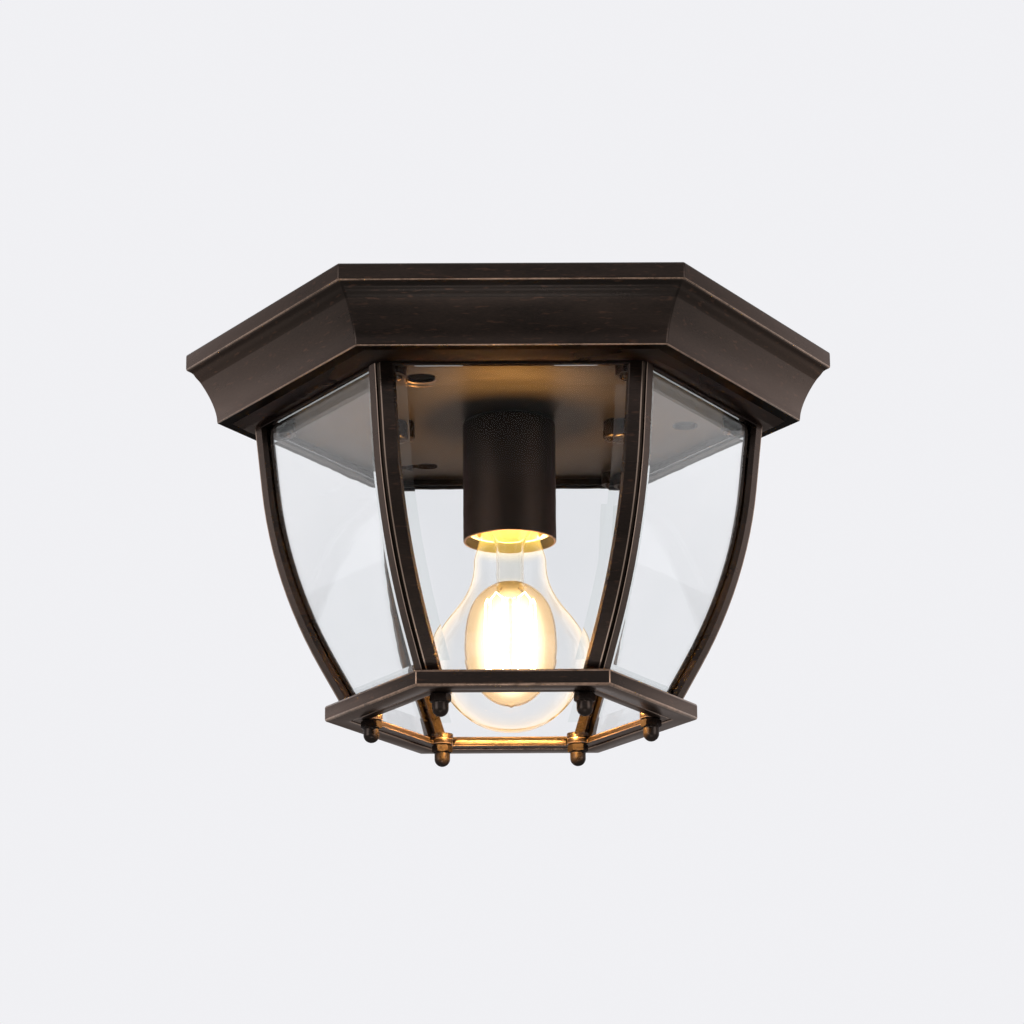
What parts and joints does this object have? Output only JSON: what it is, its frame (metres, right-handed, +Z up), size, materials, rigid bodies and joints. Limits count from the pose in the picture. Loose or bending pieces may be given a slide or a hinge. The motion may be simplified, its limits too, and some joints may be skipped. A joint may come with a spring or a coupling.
{
  "type": "porch ceiling lantern",
  "caption": "Hexagonal flush ceiling lantern: a moulded metal canopy over a cage of bent glass panes in ribs, open below on a ring held by acorn nuts, with a screw-in filament lamp.",
  "frame": {"origin": "middle of the ceiling plane, on the upper face of the crossbar", "axes": "+Z up into the ceiling, with the lantern hanging below it; +X along the crossbar, from one corner of the hexagon to the opposite one; -Y out of the front pane"},
  "size_m": [0.26, 0.2252, 0.1598],
  "materials": {
    "bronze": "satin oil-rubbed bronze",
    "dark_bronze": "satin dark bronze",
    "gasket_foam": "matt foam",
    "zinc_steel": "zinc plated",
    "green_steel": "green",
    "green_insulation": "satin",
    "black_insulation": "satin",
    "white_insulation": "satin",
    "connector_plastic": "matt",
    "porcelain": "glazed porcelain",
    "socket_brass": "satin",
    "pane_glass": "clear, bevelled at the edges",
    "lamp_glass": "clear",
    "amber_glass": "amber tinted",
    "cap_brass": "satin",
    "black_glass": "gloss black",
    "solder": "satin",
    "stem_glass": "clear",
    "support_wire": "satin",
    "filament_wire": "glowing"
  },
  "bodies": {
    "fixture": {"canopy": "bronze", "canopy_gasket": "gasket_foam", "crossbar": "zinc_steel", "mounting_studs": "zinc_steel", "stud_lock_nuts": "zinc_steel", "ground_screws": "green_steel", "ground_lead": "green_insulation", "live_lead": "black_insulation", "neutral_lead": "white_insulation", "wire_connectors": "connector_plastic", "cage_top_frame": "bronze", "rib_1": "bronze", "rib_2": "bronze", "rib_3": "bronze", "rib_4": "bronze", "rib_5": "bronze", "rib_6": "bronze", "cage_screws": "dark_bronze", "glass_pane_1": "pane_glass", "glass_pane_2": "pane_glass", "glass_pane_3": "pane_glass", "glass_pane_4": "pane_glass", "glass_pane_5": "pane_glass", "glass_pane_6": "pane_glass", "bottom_ring": "bronze", "rib_foot_studs": "zinc_steel", "socket_cover": "dark_bronze", "lampholder": "porcelain", "screw_shell": "socket_brass", "centre_contact": "socket_brass", "socket_nipple": "zinc_steel", "nipple_lock_nut": "zinc_steel"},
    "lamp": {"lamp_glass": "lamp_glass", "amber_envelope": "amber_glass", "lamp_cap": "cap_brass", "cap_insulator": "black_glass", "tip_contact": "solder", "lamp_stem": "stem_glass", "filament_supports": "support_wire", "filament": "filament_wire"},
    "thumb_nut_left": {"thumb_nut_left": "dark_bronze"},
    "thumb_nut_right": {"thumb_nut_right": "dark_bronze"},
    "acorn_nut_1": {"acorn_nut_1": "dark_bronze"},
    "acorn_nut_2": {"acorn_nut_2": "dark_bronze"},
    "acorn_nut_3": {"acorn_nut_3": "dark_bronze"},
    "acorn_nut_4": {"acorn_nut_4": "dark_bronze"},
    "acorn_nut_5": {"acorn_nut_5": "dark_bronze"},
    "acorn_nut_6": {"acorn_nut_6": "dark_bronze"}
  },
  "joints": [
    {"name": "lamp_withdrawal", "type": "slide", "parent": "fixture", "child": "lamp", "axis": [0, 0, -1], "range_m": [0, 0.13]},
    {"name": "thumb_nut_left_turn", "type": "hinge", "parent": "fixture", "child": "thumb_nut_left", "pos_m": [-0.04445, 0, -0.0325], "axis": [0, 0, 1], "continuous": true},
    {"name": "thumb_nut_right_turn", "type": "hinge", "parent": "fixture", "child": "thumb_nut_right", "pos_m": [0.04445, 0, -0.0325], "axis": [0, 0, 1], "continuous": true},
    {"name": "acorn_nut_1_turn", "type": "hinge", "parent": "fixture", "child": "acorn_nut_1", "pos_m": [0.0549, 0, -0.1545], "axis": [0, 0, 1], "continuous": true},
    {"name": "acorn_nut_2_turn", "type": "hinge", "parent": "fixture", "child": "acorn_nut_2", "pos_m": [0.02745, 0.04754, -0.1545], "axis": [0, 0, 1], "continuous": true},
    {"name": "acorn_nut_3_turn", "type": "hinge", "parent": "fixture", "child": "acorn_nut_3", "pos_m": [-0.02745, 0.04754, -0.1545], "axis": [0, 0, 1], "continuous": true},
    {"name": "acorn_nut_4_turn", "type": "hinge", "parent": "fixture", "child": "acorn_nut_4", "pos_m": [-0.0549, 0, -0.1545], "axis": [0, 0, 1], "continuous": true},
    {"name": "acorn_nut_5_turn", "type": "hinge", "parent": "fixture", "child": "acorn_nut_5", "pos_m": [-0.02745, -0.04754, -0.1545], "axis": [0, 0, 1], "continuous": true},
    {"name": "acorn_nut_6_turn", "type": "hinge", "parent": "fixture", "child": "acorn_nut_6", "pos_m": [0.02745, -0.04754, -0.1545], "axis": [0, 0, 1], "continuous": true}
  ]
}
